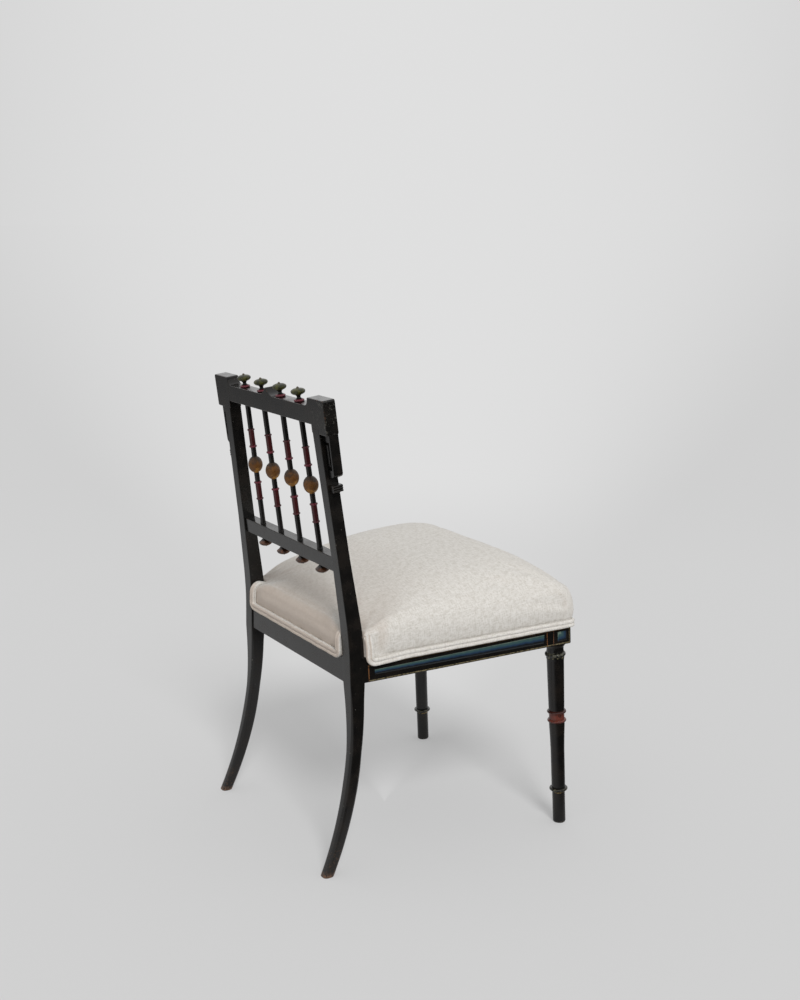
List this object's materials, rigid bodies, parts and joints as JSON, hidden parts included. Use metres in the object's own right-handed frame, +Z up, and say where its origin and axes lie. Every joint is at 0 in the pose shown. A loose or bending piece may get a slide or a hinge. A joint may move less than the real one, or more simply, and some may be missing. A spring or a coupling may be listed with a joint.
{
  "type": "side chair",
  "caption": "Ebonised side chair with a raked spindle back, sabre rear legs, turned front legs and a sprung linen seat with double welt.",
  "frame": {"origin": "on the floor, at the middle of the chair's box seen from above", "axes": "+Z up, the front of the seat faces -Y, the sitter's left is +X"},
  "size_m": [0.5354, 0.4965, 0.828],
  "materials": {
    "ebonised_wood": "satin black stain and varnish, a little worn",
    "painted_turning": "black shaft with dark red bands and a bronze-gilt ball",
    "olive_gold": "olive-gold paint, glossy",
    "copper_brown": "copper-brown paint, glossy",
    "bare_pine": "unfinished softwood",
    "jute": "coarse woven jute",
    "spring_steel": "drawn wire",
    "linen": "oatmeal linen",
    "black_cloth": "black cambric"
  },
  "bodies": {
    "root": {"post_left": "ebonised_wood", "post_right": "ebonised_wood", "ear_left": "ebonised_wood", "ear_right": "ebonised_wood", "reed_left": "ebonised_wood", "reed_right": "ebonised_wood", "crest_rail": "ebonised_wood", "lower_rail": "ebonised_wood", "spindle_1": "painted_turning", "spindle_2": "painted_turning", "spindle_3": "painted_turning", "spindle_4": "painted_turning", "knob_1": "olive_gold", "knob_2": "olive_gold", "knob_3": "olive_gold", "knob_4": "olive_gold", "drop_1": "copper_brown", "drop_2": "copper_brown", "drop_3": "copper_brown", "drop_4": "copper_brown", "rear_rail": "ebonised_wood", "front_rail": "ebonised_wood", "side_rail_left": "ebonised_wood", "side_rail_right": "ebonised_wood", "front_leg_left": "ebonised_wood", "front_leg_right": "ebonised_wood", "corner_blocks": "bare_pine", "webbing": "jute", "springs": "spring_steel", "spring_hessian": "jute", "seat_pad": "linen", "welt_front": "linen", "welt_rear": "linen", "dust_cover": "black_cloth"}
  },
  "joints": []
}
